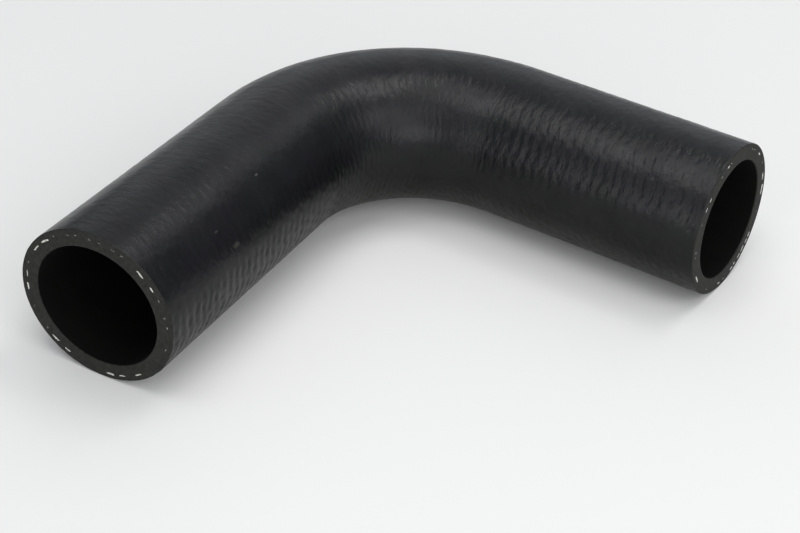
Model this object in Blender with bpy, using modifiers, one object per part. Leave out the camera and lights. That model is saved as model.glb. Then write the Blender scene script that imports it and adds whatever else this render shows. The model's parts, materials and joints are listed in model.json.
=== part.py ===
"""Moulded coolant hose: a reinforced rubber elbow that joins two stub pipes of a cooling circuit.

The elbow lies on its side. Its short leg points along +X and its long leg along -Y. The origin
is on the surface that it lies on, at the middle of its bounding box. Lengths are in metres.
"""
import math

import bmesh
import bpy
from mathutils import Vector

MM = 0.001

# Section of the rubber
BORE_DIAMETER = 35.0 * MM
WALL = 4.75 * MM
RIM_ROUNDING = 0.25 * MM

# Route, along the axis of the outer skin
BEND_RADIUS = 52.0 * MM
BEND_ANGLE = math.radians(90.0)
LONG_STRAIGHT = 78.0 * MM
SHORT_STRAIGHT = 67.0 * MM

# Wall lost on the outside of the bend and gained on its inside, where the raw hose is
# pushed round a curved mandrel before it is cured
BEND_THINNING = 0.3 * MM

# Both ends were trimmed by hand, a few degrees off square. A swing leans the cut sideways,
# so that the side towards the inside of the bend is shorter. A nod makes the top shorter.
LONG_CUT_SWING = math.radians(3.3)
LONG_CUT_NOD = math.radians(0.0)
SHORT_CUT_SWING = math.radians(6.5)
SHORT_CUT_NOD = math.radians(5.6)

# Knitted reinforcement, buried in the wall. Each cut end bares its last course: one yarn that
# runs round the hose in a row of loops, with their heads at the end face
YARN_DIAMETER = 0.8 * MM
YARN_DEPTH = 1.65 * MM
YARN_CLEARANCE = 0.3 * MM
LOOP_COUNT = 18
LOOP_HEIGHT = 2.2 * MM
LOOP_RECESS = 0.1 * MM
# How far, in loops, the legs of a loop lean in under its broad head and foot, and how flat
# those are: a plain wave at nearly 0, and a square one from about 3
LOOP_LEAN = 0.05
LOOP_SQUARENESS = 1.4

RUBBER_COLOUR = (0.011, 0.011, 0.013)
RUBBER_ROUGHNESS = 0.5
YARN_COLOUR = (0.72, 0.70, 0.64)
YARN_ROUGHNESS = 0.85

# Fineness of the facets
TUBE_SIDES = 48
BEND_STEPS = 24
RIM_SEGMENTS = 2
YARN_SIDES = 6
LOOP_STEPS = 8

OUTER_DIAMETER = BORE_DIAMETER + 2.0 * WALL
OUTER_RADIUS = OUTER_DIAMETER / 2.0
YARN_RADIUS = OUTER_RADIUS - YARN_DEPTH
SKIN_OVERRUN = OUTER_DIAMETER
BORE_OVERRUN = 2.0 * OUTER_DIAMETER
SHARP_ANGLE = math.radians(40.0)
WELD_DISTANCE = 0.001 * MM

UP = Vector((0.0, 0.0, 1.0))


class HoseEnd:
    """One end of the hose: where its leg leaves the part and how its face is cut."""

    def __init__(self, name, face_centre, axis, inner_side, swing, nod):
        self.name = name
        self.face_centre = face_centre
        self.axis = axis
        self.inner_side = inner_side
        self.normal = (axis + math.tan(swing) * inner_side + math.tan(nod) * UP).normalized()

    def face_point(self, radius, angle):
        """Point of the cut face at this radius and angle round the axis of the leg."""
        across = radius * (math.cos(angle) * self.inner_side + math.sin(angle) * UP)
        along = -across.dot(self.normal) / self.axis.dot(self.normal)
        return self.face_centre + across + along * self.axis


def bend_point(angle, radius):
    """Point on a circle about the centre of the bend, which is the origin while modelling."""
    return Vector((radius * math.cos(angle), radius * math.sin(angle), 0.0))


SHORT_START_ANGLE = math.pi / 2.0
LONG_START_ANGLE = SHORT_START_ANGLE + BEND_ANGLE
SHORT_AXIS = Vector((1.0, 0.0, 0.0))
LONG_AXIS = Vector((-math.cos(BEND_ANGLE), -math.sin(BEND_ANGLE), 0.0))

LONG_END = HoseEnd(
    "long",
    face_centre=bend_point(LONG_START_ANGLE, BEND_RADIUS) + LONG_STRAIGHT * LONG_AXIS,
    axis=LONG_AXIS,
    inner_side=-bend_point(LONG_START_ANGLE, 1.0),
    swing=LONG_CUT_SWING,
    nod=LONG_CUT_NOD,
)
SHORT_END = HoseEnd(
    "short",
    face_centre=bend_point(SHORT_START_ANGLE, BEND_RADIUS) + SHORT_STRAIGHT * SHORT_AXIS,
    axis=SHORT_AXIS,
    inner_side=-bend_point(SHORT_START_ANGLE, 1.0),
    swing=SHORT_CUT_SWING,
    nod=SHORT_CUT_NOD,
)


def clear_scene():
    for obj in list(bpy.data.objects):
        bpy.data.objects.remove(obj, do_unlink=True)


def new_collection(name):
    collection = bpy.data.collections.new(name)
    bpy.context.scene.collection.children.link(collection)
    return collection


def new_material(name, colour, roughness):
    material = bpy.data.materials.new(name)
    material.use_nodes = True
    shader = material.node_tree.nodes["Principled BSDF"]
    shader.inputs["Base Color"].default_value = (*colour, 1.0)
    shader.inputs["Roughness"].default_value = roughness
    shader.inputs["Metallic"].default_value = 0.0
    return material


def add_object(name, mesh, collection, frame):
    obj = bpy.data.objects.new(name, mesh)
    collection.objects.link(obj)
    obj.parent = frame
    return obj


def mark_as_cutter(obj):
    obj.hide_render = True
    obj.display_type = "WIRE"
    return obj


def centreline(overrun, bend_shift):
    """Axis of a tube from past the long end to past the short end.

    bend_shift moves the middle of the bend outwards and fades to nothing at both legs.
    """
    points = [LONG_END.face_centre + overrun * LONG_AXIS]
    for step in range(BEND_STEPS + 1):
        share = step / BEND_STEPS
        angle = LONG_START_ANGLE + share * (SHORT_START_ANGLE - LONG_START_ANGLE)
        points.append(bend_point(angle, BEND_RADIUS + bend_shift * math.sin(math.pi * share) ** 2))
    points.append(SHORT_END.face_centre + overrun * SHORT_AXIS)
    return points


def tube_mesh(name, points, diameter, sides, closed=False):
    """Solid round bar along the points, as one closed mesh. A closed bar ends where it starts."""
    curve = bpy.data.curves.new(name + "_route", "CURVE")
    curve.dimensions = "3D"
    curve.bevel_depth = diameter / 2.0
    curve.bevel_resolution = (sides - 4) // 2
    curve.use_fill_caps = not closed
    spline = curve.splines.new("POLY")
    spline.use_cyclic_u = closed
    spline.points.add(len(points) - 1)
    for spline_point, place in zip(spline.points, points):
        spline_point.co = (*place, 1.0)
    route = bpy.data.objects.new(name + "_route", curve)
    bpy.context.scene.collection.objects.link(route)
    depsgraph = bpy.context.evaluated_depsgraph_get()
    mesh = bpy.data.meshes.new_from_object(route.evaluated_get(depsgraph))
    bpy.data.objects.remove(route, do_unlink=True)
    weld = bmesh.new()
    weld.from_mesh(mesh)
    bmesh.ops.remove_doubles(weld, verts=weld.verts, dist=WELD_DISTANCE)
    weld.to_mesh(mesh)
    weld.free()
    mesh.shade_smooth()
    mesh.set_sharp_from_angle(angle=SHARP_ANGLE)
    return mesh


def yarn_mesh(name, end, diameter):
    """Bar along the last course of the knit, whose loops stand along the leg."""
    head_depth = LOOP_RECESS + YARN_DIAMETER / 2.0
    points = []
    for step in range(LOOP_COUNT * LOOP_STEPS):
        loops = step / LOOP_STEPS
        angle = 2.0 * math.pi * (loops + LOOP_LEAN * math.sin(4.0 * math.pi * loops)) / LOOP_COUNT
        rise = math.tanh(LOOP_SQUARENESS * math.cos(2.0 * math.pi * loops)) / math.tanh(LOOP_SQUARENESS)
        depth = head_depth + LOOP_HEIGHT * (1.0 - rise) / 2.0
        points.append(end.face_point(YARN_RADIUS, angle) - depth * end.axis)
    return tube_mesh(name, points, diameter, YARN_SIDES, closed=True)


def add_trim_block(end, collection, frame):
    """Block that takes away all of the tube past the end's cut face."""
    block_size = 2.0 * (SKIN_OVERRUN + OUTER_RADIUS)
    mesh = bpy.data.meshes.new(end.name + "_trim")
    shape = bmesh.new()
    bmesh.ops.create_cube(shape, size=block_size)
    shape.to_mesh(mesh)
    shape.free()
    block = mark_as_cutter(add_object(end.name + "_trim", mesh, collection, frame))
    block.location = end.face_centre + end.normal * (block_size / 2.0)
    block.rotation_euler = end.normal.to_track_quat("Z", "Y").to_euler()
    return block


def cut(obj, cutter):
    boolean = obj.modifiers.new(cutter.name, "BOOLEAN")
    boolean.operation = "DIFFERENCE"
    boolean.solver = "EXACT"
    boolean.object = cutter


def add_rubber(collection, cutters, frame):
    """The moulded wall: a bent tube with its bore and its trimmed ends."""
    skin_route = centreline(SKIN_OVERRUN, 0.0)
    skin = tube_mesh("skin", skin_route, OUTER_DIAMETER, TUBE_SIDES)
    rubber = add_object("hose_body", skin, collection, frame)
    rubber.data.materials.append(new_material("black_rubber", RUBBER_COLOUR, RUBBER_ROUGHNESS))

    bore_route = centreline(BORE_OVERRUN, BEND_THINNING)
    bore = tube_mesh("bore", bore_route, BORE_DIAMETER, TUBE_SIDES)
    cut(rubber, mark_as_cutter(add_object("bore", bore, cutters, frame)))
    for end in (LONG_END, SHORT_END):
        cut(rubber, add_trim_block(end, cutters, frame))

    rim = rubber.modifiers.new("rim_rounding", "BEVEL")
    rim.width = RIM_ROUNDING
    rim.segments = RIM_SEGMENTS
    rim.limit_method = "ANGLE"
    rim.angle_limit = SHARP_ANGLE

    for end in (LONG_END, SHORT_END):
        channel = yarn_mesh(end.name + "_yarn_channel", end, YARN_DIAMETER + 2.0 * YARN_CLEARANCE)
        cut(rubber, mark_as_cutter(add_object(channel.name, channel, cutters, frame)))
    return rubber


def add_yarn(end, material, collection, frame):
    """Last course of the knit at one end of the hose."""
    name = end.name + "_end_yarn"
    yarn = add_object(name, yarn_mesh(name, end, YARN_DIAMETER), collection, frame)
    yarn.data.materials.append(material)
    return yarn


def lay_on_surface(frame, rubber):
    """Move the whole part until the middle of its bounding box's underside is at the origin."""
    bpy.context.view_layer.update()
    evaluated = rubber.evaluated_get(bpy.context.evaluated_depsgraph_get())
    corners = [evaluated.matrix_world @ vertex.co for vertex in evaluated.data.vertices]
    low = [min(corner[side] for corner in corners) for side in range(3)]
    high = [max(corner[side] for corner in corners) for side in range(3)]
    frame.location = (-(low[0] + high[0]) / 2.0, -(low[1] + high[1]) / 2.0, -low[2])
    bpy.context.view_layer.update()


def main():
    clear_scene()
    parts = new_collection("coolant_hose")
    cutters = new_collection("cutters")
    frame = bpy.data.objects.new("hose_frame", None)
    parts.objects.link(frame)
    rubber = add_rubber(parts, cutters, frame)
    yarn_material = new_material("white_yarn", YARN_COLOUR, YARN_ROUGHNESS)
    for end in (LONG_END, SHORT_END):
        add_yarn(end, yarn_material, parts, frame)
    lay_on_surface(frame, rubber)


main()
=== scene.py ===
import json
import math

import bpy
import numpy as np
from mathutils import Matrix, Vector


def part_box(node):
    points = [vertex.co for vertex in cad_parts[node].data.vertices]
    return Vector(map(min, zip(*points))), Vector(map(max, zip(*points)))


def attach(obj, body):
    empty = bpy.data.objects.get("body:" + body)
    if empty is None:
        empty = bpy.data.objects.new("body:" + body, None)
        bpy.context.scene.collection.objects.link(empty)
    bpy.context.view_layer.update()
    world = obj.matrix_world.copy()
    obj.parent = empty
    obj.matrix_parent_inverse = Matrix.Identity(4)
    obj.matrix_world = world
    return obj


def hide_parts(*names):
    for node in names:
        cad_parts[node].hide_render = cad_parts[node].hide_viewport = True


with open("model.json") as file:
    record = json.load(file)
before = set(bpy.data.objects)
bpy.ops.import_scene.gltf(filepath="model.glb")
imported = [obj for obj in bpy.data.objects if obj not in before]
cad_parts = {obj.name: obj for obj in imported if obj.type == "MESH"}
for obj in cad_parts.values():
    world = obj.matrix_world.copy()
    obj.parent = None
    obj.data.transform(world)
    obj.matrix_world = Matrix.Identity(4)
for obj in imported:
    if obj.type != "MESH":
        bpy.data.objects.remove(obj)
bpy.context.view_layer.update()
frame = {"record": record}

MM = 0.001

# Section and route of the hose, as in the solids
OUTER_RADIUS = 22.25 * MM
BORE_RADIUS = 17.5 * MM
BEND_RADIUS = 52.0 * MM
BEND_THINNING = 0.3 * MM
BEND_LENGTH = BEND_RADIUS * math.pi / 2.0
YARN_RADIUS = 20.6 * MM

# The rims are a little rounder than in the solids
RIM_ROUNDING = 0.3 * MM

# Fineness of the rubber's mesh
COLUMNS = 176
SKIN_ROWS = 436
RIM_ROWS = 4
FACE_ROWS = 10
BORE_ROWS = 50

# Relief of the skin: each loop of the knit under it shows through as two short strokes
RING_PITCH = 2.85 * MM
RING_DEPTH = 0.105 * MM
RING_WANDER = 0.07
WALES = 18
WALE_SWING = 0.13
STROKE_LENGTH = 3.4 * MM
STROKE_GRAIN = 3.0 * MM
WANDER_ALONG = 12.0 * MM
WANDER_AROUND = 9.0 * MM
PATCH_SIZE = 2.6 * MM
PATCH_DEPTH = 0.06 * MM
BEND_FADE = 8.0 * MM
SKIN_SEED = 11

# Share of a ring's depth that is the same all along it, that comes and goes with the strokes, and
# that is left to chance
EVEN_SHARE = 0.6
STROKE_SHARE = 0.4
CHANCE_SHARE = 0.1
FAINTEST = 0.03
DEEPEST = 1.2

# Strength of the relief, and the degrees round the section where it is strongest: 0 is the side
# towards the inside of the bend, and 90 is on top
SIDE_MIDDLE = 15.0
LOW_SIDE_MIDDLE = -25.0
FAINT_RELIEF = 0.4
LONG_LEG_RELIEF = 0.54
LONG_LEG_LOW_RELIEF = 3.0

# Woolly grain over the relief
GRAIN_SIZE = 1.9 * MM
GRAIN_SQUEEZE = 2.2
GRAIN_HEIGHT = 0.112 * MM
LONG_LEG_GRAIN = 0.8

# Shine of the skin: dulled by dust low down
LOW_SHINE = 0.167
TOP_SHINE = 0.29

# A scuff and two specks of dust on the long leg: distance from the bend's start, degrees round the
# section, size and colour
MARKS = (
    (-47.0 * MM, 24.0, 1.0 * MM, (0.028, 0.027, 0.024)),
    (-28.5 * MM, 52.0, 0.4 * MM, (0.080, 0.080, 0.078)),
    (-51.3 * MM, 40.0, 0.4 * MM, (0.035, 0.035, 0.034)),
)
MARK_STRETCH = (1.0, 0.5, 1.0)

# Yarn ends in the cut faces: where each run of yarn lies round the end in degrees, and its length
# in mm. The saw met long runs of the knit side on, and cut the others straight across.
YARN_RUNS = {
    "long_end_yarn": (
        (6, 0.5), (14, 0.6), (28, 0.7), (37, 1.6), (50, 2.7), (67, 0.6), (74, 0.8), (85, 0.8), (93, 0.8),
        (104, 0.7), (111, 0.9), (124, 0.6), (134, 3.4), (146, 2.6), (163, 0.6), (174, 2.3), (185, 2.5),
        (202, 0.5), (221, 0.6), (230, 2.7), (242, 2.2), (279, 2.7), (289, 2.3), (305, 2.6), (346, 0.7),
    ),
    "short_end_yarn": (
        (0, 0.5), (23, 0.8), (35, 1.4), (43, 1.3), (63, 0.6), (74, 1.3), (79, 0.9), (118, 0.9), (123, 0.8),
        (137, 1.7), (152, 1.0), (168, 3.0), (181, 4.2), (200, 0.7), (220, 1.8), (226, 1.6), (233, 2.6),
        (240, 2.0), (248, 1.2), (253, 1.8), (267, 1.0), (275, 1.4), (300, 0.9), (330, 3.8), (355, 0.6),
    ),
}
SHORTEST_LONG_RUN = 1.05 * MM
YARN_STRAY = 0.15 * MM
YARN_SPREAD = 0.20 * MM
YARN_TILT = 0.12
YARN_BOW = 0.20 * MM
YARN_PROUD = 0.05 * MM
YARN_SEED = 5

# The filaments of each yarn end. Those of a long run dip into the rubber at their tips, and those of
# a short one come up out of it, from the depths given last.
FILAMENTS = 11
FILAMENT_RADIUS = 0.06 * MM
FILAMENT_SIDES = 6
FILAMENT_TIP = 0.5
FILAMENT_WAVE = 0.05 * MM
FILAMENT_SINK = 0.03 * MM
FILAMENT_DIP = 0.15 * MM
FILAMENT_LEAN = np.array((0.0, 0.02, 0.06)) * MM
FILAMENT_DEPTHS = (-0.3 * MM, -0.1 * MM)

# Light, as radiances: 1 is white
ROOM_LEVEL = 0.25
ROOM_TINT = (0.94, 1.0, 1.09)
DOME_RADIUS = 1.0
DOME_CENTRE = Vector((0.0, 0.02, 0.02))

# Lamps on the dome: azimuth and elevation, width and height in degrees, and radiance
LAMPS = {
    "front_left_low": (264.0, 14.0, 16.0, 22.0, 2.8),
    "front_left_high": (263.0, 36.0, 14.0, 22.0, 1.6),
    "front_right_low": (320.0, 17.0, 52.0, 18.0, 2.2),
    "front_right_high": (332.0, 42.0, 54.0, 32.0, 1.4),
    "front_top": (310.0, 68.0, 36.0, 20.0, 0.8),
    "overhead_front": (245.0, 66.0, 28.0, 20.0, 2.4),
    "overhead_middle": (215.0, 85.0, 32.0, 24.0, 1.3),
    "overhead_left": (205.0, 77.0, 22.0, 14.0, 1.1),
    "back_spot": (58.0, 69.0, 26.0, 14.0, 5.2),
    "back_right": (68.0, 47.0, 20.0, 18.0, 0.55),
    "back_high": (112.0, 56.0, 66.0, 16.0, 0.4),
    "back_wall": (112.0, 28.0, 66.0, 40.0, 0.55),
    "right_side": (8.0, 42.0, 30.0, 36.0, 0.65),
}

FLOOR_REACH = 4.0

# The photograph's view: where the camera stands, how far it is turned off the long leg, how far it
# looks down and leans, in degrees, and its lens and sensor in mm
CAMERA_PLACE = Vector((142.3917, -302.4079, 265.6824)) * MM
CAMERA_AZIMUTH = 26.007
CAMERA_PITCH = 37.545
CAMERA_ROLL = 5.626
CAMERA_LENS = 68.88
CAMERA_SENSOR = 36.0

HOSE_LOW, HOSE_HIGH = (Vector(corner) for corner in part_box("hose_body"))
BEND_CENTRE = Vector((
    HOSE_LOW.x + OUTER_RADIUS + BEND_RADIUS,
    HOSE_HIGH.y - OUTER_RADIUS - BEND_RADIUS,
    HOSE_LOW.z + OUTER_RADIUS,
))
UP = np.array((0.0, 0.0, 1.0))
CUTS = {
    mount["name"]: (np.array(mount["pos_m"]), np.array(mount["axis"]))
    for mount in frame["record"]["mounts"]
}


def route(place):
    """Centre, direction and inner side of the hose at these distances along it from the bend's start.

    Negative distances lie on the long leg, those past BEND_LENGTH on the short one.
    """
    place = np.asarray(place, dtype=float)
    turn = np.clip(place, 0.0, BEND_LENGTH) / BEND_RADIUS
    flat = np.zeros_like(turn)
    inner = np.stack([np.cos(turn), -np.sin(turn), flat], axis=-1)
    along = np.stack([np.sin(turn), np.cos(turn), flat], axis=-1)
    past = (np.minimum(place, 0.0) + np.maximum(place - BEND_LENGTH, 0.0))[..., None]
    centre = np.array(BEND_CENTRE) - BEND_RADIUS * inner + past * along
    return centre, along, inner


def outward(inner, angle):
    """Unit vectors out from the hose's axis at these angles round its section, given its inner side."""
    return np.cos(angle)[..., None] * inner + np.sin(angle)[..., None] * UP


def place_on_cut(cut, leg, radius, angle):
    """Distance along the route at which a line on the hose meets the plane of a cut end."""
    point, normal = CUTS[cut]
    start = 0.0 if leg == "long" else BEND_LENGTH
    centre, along, inner = route(start)
    surface = centre + np.asarray(radius)[..., None] * outward(inner, angle)
    return start + (point - surface) @ normal / (along @ normal)


def smooth_noise(seed, place, angle, waves, along, around):
    """Smooth noise over the skin, about -1 to 1, that closes on itself round the hose.

    It is a sum of sines, whose shortest waves are `along` and `around` long in the two directions.
    """
    rng = np.random.default_rng(seed)
    most_turns = round(2.0 * math.pi * OUTER_RADIUS / around)
    total = np.zeros(np.broadcast(place, angle).shape)
    for _ in range(waves):
        turns = rng.integers(-most_turns, most_turns + 1)
        rate = rng.uniform(-2.0, 2.0) * math.pi / along
        total += np.sin(rate * place + turns * angle + rng.uniform(0.0, 2.0 * math.pi))
    return total / math.sqrt(2.0 * waves)


def facing(angle, middle, start, full):
    """1 near this middle, in degrees round the section, and 0 away from it.

    It climbs while the cosine of the angle off the middle goes from `start` to `full`.
    """
    return np.clip((np.cos(angle - math.radians(middle)) - start) / (full - start), 0.0, 1.0)


def relief_strength(place, angle):
    """How far the knit was pressed into the skin: most on the inner side, and low down on the long leg.

    It is faint on top, at the back and underneath.
    """
    side = facing(angle, SIDE_MIDDLE, start=0.25, full=0.75)
    low_side = facing(angle, LOW_SIDE_MIDDLE, start=0.75, full=0.95)
    long_leg = LONG_LEG_RELIEF + (LONG_LEG_LOW_RELIEF - LONG_LEG_RELIEF) * low_side
    short_leg = np.clip(2.0 * place / BEND_LENGTH - 1.0, 0.0, 1.0)
    return (FAINT_RELIEF + (1.0 - FAINT_RELIEF) * side) * (long_leg + (1.0 - long_leg) * short_leg)


def skin_depth(place, angle):
    """How far the skin lies below its outside."""
    wander = smooth_noise(SKIN_SEED, place, angle, waves=30, along=WANDER_ALONG, around=WANDER_AROUND)
    swing = WALE_SWING * np.cos(WALES * angle)
    rings = 0.5 - 0.5 * np.cos(2.0 * math.pi * (place / RING_PITCH + RING_WANDER * wander + swing))
    chance = smooth_noise(SKIN_SEED + 1, place, angle, waves=90, along=STROKE_GRAIN, around=STROKE_LENGTH)
    strokes = np.cos(2.0 * WALES * angle + math.pi * place / RING_PITCH + 2.0 * chance)
    strength = np.clip(EVEN_SHARE + STROKE_SHARE * strokes + CHANCE_SHARE * chance, FAINTEST, DEEPEST)
    strength *= relief_strength(place, angle)
    # In the bend the rings crowd together on the inner side, and are shallower there by as much
    in_bend = np.clip(np.minimum(place, BEND_LENGTH - place) / BEND_FADE, 0.0, 1.0)
    strength *= 1.0 - in_bend * np.cos(angle) * OUTER_RADIUS / BEND_RADIUS
    patches = smooth_noise(SKIN_SEED + 2, place, angle, waves=80, along=PATCH_SIZE, around=PATCH_SIZE)
    return np.clip(RING_DEPTH * strength * rings + PATCH_DEPTH * (0.5 + 0.5 * patches), 0.0, None)


def rubber_rings():
    """Closed rings of points: the skin from the long end to the short one, and back in the bore.

    Returns them with the part that each belongs to, and their places on a hose bent straight.
    """
    angle = np.linspace(0.0, 2.0 * math.pi, COLUMNS, endpoint=False)
    rim_turns = np.linspace(0.0, math.pi / 2.0, RIM_ROWS + 1)
    face_radii = np.linspace(OUTER_RADIUS - RIM_ROUNDING, BORE_RADIUS + RIM_ROUNDING, FACE_ROWS + 1)
    rows, parts, straight = [], [], []

    def long_cut(radius):
        return place_on_cut("long_end_face", "long", np.full(COLUMNS, radius), angle)

    def short_cut(radius):
        return place_on_cut("short_end_face", "short", np.full(COLUMNS, radius), angle)

    def add(part, place, radius, bore_shift=0.0):
        centre, _, inner = route(place)
        centre = centre - np.asarray(bore_shift)[..., None] * inner
        radius = np.broadcast_to(radius, COLUMNS)
        rows.append(centre + radius[:, None] * outward(inner, angle))
        parts.append(part)
        straight.append(np.stack([radius * np.cos(angle), radius * np.sin(angle), place], axis=-1))

    start = long_cut(OUTER_RADIUS) + RIM_ROUNDING
    stop = short_cut(OUTER_RADIUS) - RIM_ROUNDING
    for step in np.linspace(0.0, 1.0, SKIN_ROWS):
        place = start + step * (stop - start)
        add("skin", place, OUTER_RADIUS - skin_depth(place, angle))

    rim_depth = skin_depth(stop, angle)
    for turn in rim_turns[1:]:
        radius = OUTER_RADIUS - RIM_ROUNDING * (1.0 - math.cos(turn))
        add("face", stop + RIM_ROUNDING * math.sin(turn), radius - rim_depth * math.cos(turn))
    for radius in face_radii[1:]:
        add("face", short_cut(radius), radius)
    for turn in rim_turns[1:-1]:
        radius = BORE_RADIUS + RIM_ROUNDING * (1.0 - math.sin(turn))
        add("face", short_cut(radius) - RIM_ROUNDING * (1.0 - math.cos(turn)), radius)

    bore_start = short_cut(BORE_RADIUS) - RIM_ROUNDING
    bore_stop = long_cut(BORE_RADIUS) + RIM_ROUNDING
    for step in np.linspace(0.0, 1.0, BORE_ROWS):
        place = bore_start + step * (bore_stop - bore_start)
        shift = BEND_THINNING * np.sin(np.clip(place / BEND_LENGTH, 0.0, 1.0) * math.pi) ** 2
        add("bore", place, BORE_RADIUS, shift)

    for turn in rim_turns[-2:0:-1]:
        radius = BORE_RADIUS + RIM_ROUNDING * (1.0 - math.sin(turn))
        add("face", long_cut(radius) + RIM_ROUNDING * (1.0 - math.cos(turn)), radius)
    for radius in face_radii[::-1]:
        add("face", long_cut(radius), radius)
    rim_depth = skin_depth(start, angle)
    for turn in rim_turns[-2:0:-1]:
        radius = OUTER_RADIUS - RIM_ROUNDING * (1.0 - math.cos(turn))
        add("face", start - RIM_ROUNDING * math.sin(turn), radius - rim_depth * math.cos(turn))
    return np.array(rows), parts, np.array(straight)


def ring_mesh(name, rings):
    """Mesh of a grid of points that closes on itself both ways."""
    row_count, column_count, _ = rings.shape
    index = np.arange(row_count * column_count).reshape(row_count, column_count)
    next_row = np.roll(index, -1, axis=0)
    next_column = np.roll(index, -1, axis=1)
    across = np.roll(next_row, -1, axis=1)
    faces = np.stack([index, next_row, across, next_column], axis=-1).reshape(-1, 4)
    mesh = bpy.data.meshes.new(name)
    mesh.from_pydata(rings.reshape(-1, 3).tolist(), [], faces.tolist())
    mesh.shade_smooth()
    return mesh


def new_piece(name, mesh):
    piece = bpy.data.objects.new(name, mesh)
    bpy.context.scene.collection.objects.link(piece)
    return piece


class Shader:
    """A material under construction: its Principled shader and the nodes that feed it.

    It starts with plain values, which its nodes then vary.
    """

    # Most of a noise texture's values lie between these
    NOISE_LOW = 0.3
    NOISE_HIGH = 0.7

    def __init__(self, name, colour, roughness, specular):
        self.material = bpy.data.materials.new(name)
        self.material.use_nodes = True
        self.nodes = self.material.node_tree.nodes
        self.links = self.material.node_tree.links
        self.surface = self.nodes["Principled BSDF"]
        self.surface.inputs["Base Color"].default_value = (*colour, 1.0)
        self.surface.inputs["Roughness"].default_value = roughness
        self.surface.inputs["Specular IOR Level"].default_value = specular
        self.places = self.nodes.new("ShaderNodeTexCoord").outputs["Object"]

    def straight_places(self):
        """Places as they would be with the hose bent straight along Z."""
        straight = self.nodes.new("ShaderNodeAttribute")
        straight.attribute_name = "straight"
        return straight.outputs["Vector"]

    def noise(self, size, detail=2.0, stretch=(1.0, 1.0, 1.0), places=None):
        """Noise with features about this large, in metres, and smaller along an axis that is stretched."""
        mapping = self.nodes.new("ShaderNodeMapping")
        mapping.inputs["Scale"].default_value = [factor / size for factor in stretch]
        self.links.new(places or self.places, mapping.inputs["Vector"])
        texture = self.nodes.new("ShaderNodeTexNoise")
        texture.inputs["Scale"].default_value = 1.0
        texture.inputs["Detail"].default_value = detail
        self.links.new(mapping.outputs["Vector"], texture.inputs["Vector"])
        return texture.outputs["Fac"]

    def map_range(self, value, low, high, value_low, value_high):
        """Maps one range of a value to another, and stops at its ends."""
        mapped = self.nodes.new("ShaderNodeMapRange")
        mapped.inputs["From Min"].default_value = low
        mapped.inputs["From Max"].default_value = high
        mapped.inputs["To Min"].default_value = value_low
        mapped.inputs["To Max"].default_value = value_high
        self.links.new(value, mapped.inputs["Value"])
        return mapped.outputs["Result"]

    def spread(self, value, low, high):
        """Maps the middle of a noise's range to this range."""
        return self.map_range(value, self.NOISE_LOW, self.NOISE_HIGH, low, high)

    def climb(self, low, high, value_low, value_high, places=None):
        """A value that changes between these two places along Z."""
        split = self.nodes.new("ShaderNodeSeparateXYZ")
        self.links.new(places or self.places, split.inputs["Vector"])
        return self.map_range(split.outputs["Z"], low, high, value_low, value_high)

    def product(self, first, second):
        product = self.nodes.new("ShaderNodeMath")
        product.operation = "MULTIPLY"
        self.links.new(first, product.inputs[0])
        self.links.new(second, product.inputs[1])
        return product.outputs["Value"]

    def blend(self, first, second, share):
        blend = self.nodes.new("ShaderNodeMix")
        blend.inputs["Factor"].default_value = share
        self.links.new(first, blend.inputs["A"])
        self.links.new(second, blend.inputs["B"])
        return blend.outputs["Result"]

    def vary_roughness(self, value, low, high):
        self.links.new(self.spread(value, low, high), self.surface.inputs["Roughness"])

    def vary_colour(self, value, dark, light):
        mix = self.nodes.new("ShaderNodeMix")
        mix.data_type = "RGBA"
        mix.inputs["A"].default_value = (*dark, 1.0)
        mix.inputs["B"].default_value = (*light, 1.0)
        self.links.new(self.spread(value, 0.0, 1.0), mix.inputs["Factor"])
        self.links.new(mix.outputs["Result"], self.surface.inputs["Base Color"])

    def blot(self, centre, size, stretch, colour):
        """Lays a ragged blot of this colour over the earlier ones."""
        away = self.places
        for operation, value in (("SUBTRACT", centre), ("MULTIPLY", stretch)):
            step = self.nodes.new("ShaderNodeVectorMath")
            step.operation = operation
            self.links.new(away, step.inputs[0])
            step.inputs[1].default_value = value
            away = step.outputs["Vector"]
        length = self.nodes.new("ShaderNodeVectorMath")
        length.operation = "LENGTH"
        self.links.new(away, length.inputs[0])
        raggedness = self.spread(self.noise(0.5 * MM), 0.6, 1.7)
        ragged = self.product(length.outputs["Value"], raggedness)
        edge = self.map_range(ragged, size, 0.4 * size, 0.0, 1.0)
        mix = self.nodes.new("ShaderNodeMix")
        mix.data_type = "RGBA"
        self.links.new(self.surface.inputs["Base Color"].links[0].from_socket, mix.inputs["A"])
        mix.inputs["B"].default_value = (*colour, 1.0)
        self.links.new(edge, mix.inputs["Factor"])
        self.links.new(mix.outputs["Result"], self.surface.inputs["Base Color"])

    def roughen(self, value, height):
        """Raises the surface by this much where the value is 1."""
        bump = self.nodes.new("ShaderNodeBump")
        bump.inputs["Distance"].default_value = height
        self.links.new(value, bump.inputs["Height"])
        self.links.new(bump.outputs["Normal"], self.surface.inputs["Normal"])


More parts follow.
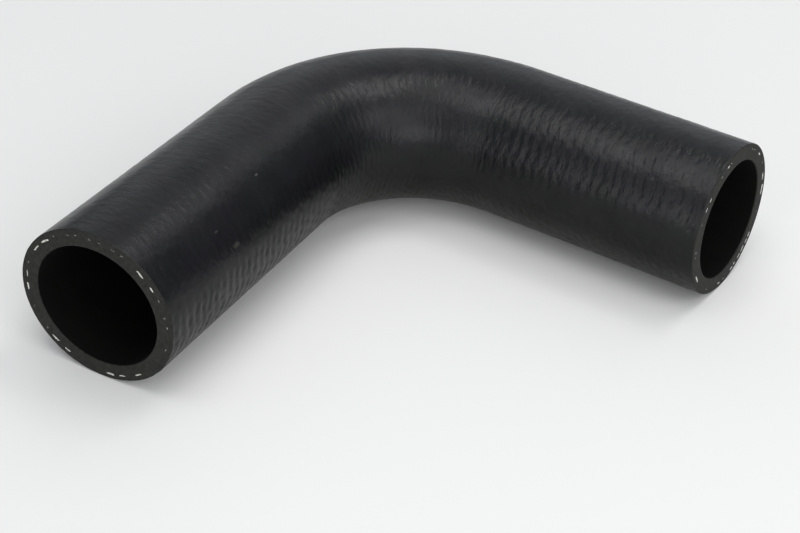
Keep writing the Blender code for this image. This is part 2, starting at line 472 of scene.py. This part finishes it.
def skin_material():
    """Satin black with a woolly grain and a few marks, and a painted tint of the light on it: greener low
    down and bluer on top.
    """
    shader = Shader("moulded_rubber", (0.0040, 0.0040, 0.0046), 0.34, 0.26)
    # Painted tint of the light: the colour goes from green low down to blue on top, blended with a random
    # tone
    height = shader.climb(10.0 * MM, 32.0 * MM, 0.3, 0.7)
    tone_and_painted_tint = shader.blend(shader.noise(14.0 * MM), height, 0.6)
    shader.vary_colour(tone_and_painted_tint, (0.0037, 0.0053, 0.0024), (0.0046, 0.0043, 0.0062))
    dust = shader.spread(shader.noise(9.0 * MM), 0.86, 1.14)
    shine = shader.product(shader.climb(18.0 * MM, 30.0 * MM, LOW_SHINE, TOP_SHINE), dust)
    shader.links.new(shine, shader.surface.inputs["Specular IOR Level"])
    for place, degrees, size, colour in MARKS:
        centre, _, inner = route(place)
        mark = centre + OUTER_RADIUS * outward(inner, np.radians(degrees))
        shader.blot(mark, size, MARK_STRETCH, colour)
    shader.vary_roughness(shader.noise(5.0 * MM), 0.29, 0.35)
    straight = shader.straight_places()
    grain = shader.noise(GRAIN_SIZE, stretch=(1.0, 1.0, GRAIN_SQUEEZE), places=straight)
    wool = shader.climb(40.0 * MM, 90.0 * MM, LONG_LEG_GRAIN, 1.0, straight)
    shader.roughen(shader.product(grain, wool), GRAIN_HEIGHT)
    return shader.material


def cut_material():
    """Matt, sawn rubber."""
    shader = Shader("cut_rubber", (0.025, 0.025, 0.022), 0.75, 0.25)
    shader.vary_colour(shader.noise(1.0 * MM, detail=3.0), (0.012, 0.012, 0.0105), (0.025, 0.025, 0.022))
    shader.roughen(shader.noise(0.6 * MM, stretch=(1.0, 1.0, 0.25)), 0.08 * MM)
    return shader.material


def bore_material():
    """Dull black, as the mandrel left it."""
    shader = Shader("bore_rubber", (0.003, 0.003, 0.003), 0.9, 0.1)
    shader.vary_colour(shader.noise(6.0 * MM), (0.0022, 0.0026, 0.0020), (0.0036, 0.0040, 0.0030))
    shader.roughen(shader.noise(0.8 * MM), 0.05 * MM)
    return shader.material


def yarn_material(name):
    """Off-white filament yarn, soiled in places."""
    shader = Shader(name, (0.72, 0.70, 0.64), 0.85, 0.3)
    shader.vary_colour(shader.noise(0.7 * MM), (0.38, 0.37, 0.32), (0.85, 0.84, 0.79))
    return shader.material


def floor_material():
    shader = Shader("pale_floor", (0.83, 0.825, 0.81), 0.9, 0.0)
    shader.vary_colour(shader.noise(300.0 * MM), (0.825, 0.82, 0.805), (0.835, 0.83, 0.815))
    return shader.material


def make_rubber():
    rings, parts, straight = rubber_rings()
    mesh = ring_mesh("rubber_wall", rings)
    mesh.attributes.new("straight", "FLOAT_VECTOR", "POINT").data.foreach_set("vector", straight.ravel())
    slots = {"skin": 0, "face": 1, "bore": 2}
    for material in (skin_material(), cut_material(), bore_material()):
        mesh.materials.append(material)
    slot_of_row = np.array([slots[part] for part in parts])
    mesh.polygons.foreach_set("material_index", np.repeat(slot_of_row, COLUMNS))
    wall = new_piece("rubber_wall", mesh)
    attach(wall, "root")
    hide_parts("hose_body")


def thread_mesh(name, paths, radius):
    """Mesh of thin round threads along these paths, narrower at their tips."""
    sides = FILAMENT_SIDES
    turn = np.linspace(0.0, math.tau, sides, endpoint=False)
    verts, faces = [], []
    for path in paths:
        ahead = np.gradient(path, axis=0)
        ahead /= np.linalg.norm(ahead, axis=1)[:, None]
        off_path = ahead[0][[1, 2, 0]] + 0.3
        sideways = np.cross(ahead, off_path)
        sideways /= np.linalg.norm(sideways, axis=1)[:, None]
        across = np.cross(ahead, sideways)
        girth = np.full(len(path), radius)
        girth[[0, -1]] *= FILAMENT_TIP
        ring = np.cos(turn)[:, None, None] * sideways + np.sin(turn)[:, None, None] * across
        points = path[:, None] + girth[:, None, None] * ring.transpose(1, 0, 2)
        base = len(verts)
        verts.extend(points.reshape(-1, 3).tolist())
        for step in range(len(path) - 1):
            for side in range(sides):
                corner = base + step * sides + side
                beside = base + step * sides + (side + 1) % sides
                faces.append((corner, beside, beside + sides, corner + sides))
        last = base + (len(path) - 1) * sides
        faces.append(tuple(range(base + sides - 1, base - 1, -1)))
        faces.append(tuple(range(last, last + sides)))
    mesh = bpy.data.meshes.new(name)
    mesh.from_pydata(verts, [], faces)
    mesh.shade_smooth()
    return mesh


def make_yarn(node, cut, leg):
    """Cut ends of the knit's yarn round the end face, each a bundle of filaments."""
    rng = np.random.default_rng(YARN_SEED)
    normal = CUTS[cut][1]

    def on_face(angle, radius, height):
        place = place_on_cut(cut, leg, radius, angle)
        centre, _, inner = route(place)
        return centre + radius[:, None] * outward(inner, angle) + np.asarray(height)[..., None] * normal

    paths = []
    for degrees, length in YARN_RUNS[node]:
        length *= MM
        middle = YARN_RADIUS + YARN_STRAY * rng.uniform(-1.0, 1.0)
        tilt = YARN_TILT * rng.uniform(-1.0, 1.0)
        bow = YARN_BOW * rng.uniform(-1.0, 1.0)
        spread = YARN_SPREAD * rng.uniform(0.7, 1.3)
        for _ in range(FILAMENTS):
            across = spread * rng.uniform(-1.0, 1.0)
            if length > SHORTEST_LONG_RUN:
                # Lies along the cut face
                reach = 0.6 * length * rng.uniform(0.7, 1.0)
                run = np.linspace(-1.0, 1.0, 7)
                lie = reach * run + YARN_STRAY * rng.uniform(-1.0, 1.0)
                radius = middle + across * (1.0 - 0.6 * run ** 2) + tilt * lie + bow * run ** 2
                wave = FILAMENT_WAVE * rng.uniform(-1.0, 1.0)
                radius += wave * np.sin(3.0 * run + rng.uniform(0.0, 6.0))
                sink = FILAMENT_SINK * rng.uniform(0.0, 1.0)
                height = YARN_PROUD - FILAMENT_RADIUS - sink - FILAMENT_DIP * run ** 8
            else:
                # Comes up through the cut face
                lie = np.full(3, rng.uniform(-0.5, 0.5) * length)
                lie += FILAMENT_LEAN * rng.uniform(-1.0, 1.0)
                radius = np.full(3, middle + 0.8 * across)
                height = np.array((*FILAMENT_DEPTHS, YARN_PROUD - FILAMENT_SINK * rng.uniform(0.0, 1.0)))
            paths.append(on_face(math.radians(degrees) + lie / YARN_RADIUS, radius, height))
    mesh = thread_mesh(node + "_ends", paths, FILAMENT_RADIUS)
    mesh.materials.append(yarn_material(node + "_fibre"))
    piece = new_piece(node + "_ends", mesh)
    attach(piece, "root")
    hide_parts(node)


def make_floor():
    corners = [
        (-FLOOR_REACH, -FLOOR_REACH, 0.0),
        (FLOOR_REACH, -FLOOR_REACH, 0.0),
        (FLOOR_REACH, FLOOR_REACH, 0.0),
        (-FLOOR_REACH, FLOOR_REACH, 0.0),
    ]
    mesh = bpy.data.meshes.new("floor")
    mesh.from_pydata(corners, [], [(0, 1, 2, 3)])
    mesh.materials.append(floor_material())
    floor = new_piece("floor", mesh)


def direction(azimuth, elevation):
    """Unit vector to a place in the room. Azimuth 0 is +X and 90 is +Y, both angles in degrees."""
    azimuth, elevation = math.radians(azimuth), math.radians(elevation)
    return Vector((
        math.cos(azimuth) * math.cos(elevation),
        math.sin(azimuth) * math.cos(elevation),
        math.sin(elevation),
    ))


def make_world():
    """A plain, even room."""
    world = bpy.data.worlds.new("studio")
    bpy.context.scene.world = world
    world.use_nodes = True
    room = world.node_tree.nodes["Background"]
    room.inputs["Color"].default_value = (*ROOM_TINT, 1.0)
    room.inputs["Strength"].default_value = ROOM_LEVEL


def add_softbox(name, azimuth, elevation, width, height, radiance):
    """Lamp on the dome round the hose, facing its centre."""
    away = direction(azimuth, elevation)
    lamp = bpy.data.lights.new(name, "AREA")
    lamp.shape = "RECTANGLE"
    lamp.size = 2.0 * DOME_RADIUS * math.tan(math.radians(width / 2.0))
    lamp.size_y = 2.0 * DOME_RADIUS * math.tan(math.radians(height / 2.0))
    lamp.energy = radiance * math.pi * lamp.size * lamp.size_y
    softbox = bpy.data.objects.new(name, lamp)
    turn = away.to_track_quat("Z", "Y").to_matrix().to_4x4()
    softbox.matrix_world = Matrix.Translation(DOME_CENTRE + DOME_RADIUS * away) @ turn
    softbox.visible_camera = False
    bpy.context.scene.collection.objects.link(softbox)


def make_camera():
    """Camera at the photograph's viewing angle."""
    azimuth, pitch, roll = (math.radians(turn) for turn in (CAMERA_AZIMUTH, CAMERA_PITCH, CAMERA_ROLL))
    level = Vector((math.cos(azimuth), math.sin(azimuth), 0.0))
    ahead = Vector((-math.sin(azimuth), math.cos(azimuth), 0.0))
    forward = math.cos(pitch) * ahead - Vector((0.0, 0.0, math.sin(pitch)))
    upright = level.cross(forward)
    right = math.cos(roll) * level + math.sin(roll) * upright
    up = -math.sin(roll) * level + math.cos(roll) * upright
    lens = bpy.data.cameras.new("camera")
    lens.lens = CAMERA_LENS
    lens.sensor_width = CAMERA_SENSOR
    camera = bpy.data.objects.new("camera", lens)
    view = Matrix((right, up, -forward)).transposed().to_4x4()
    camera.matrix_world = Matrix.Translation(CAMERA_PLACE) @ view
    bpy.context.scene.collection.objects.link(camera)
    bpy.context.scene.camera = camera


make_rubber()
make_yarn("long_end_yarn", "long_end_face", "long")
make_yarn("short_end_yarn", "short_end_face", "short")
make_floor()
make_world()
for name, lamp in LAMPS.items():
    add_softbox(name, *lamp)
make_camera()
bpy.context.scene.view_settings.view_transform = "Standard"
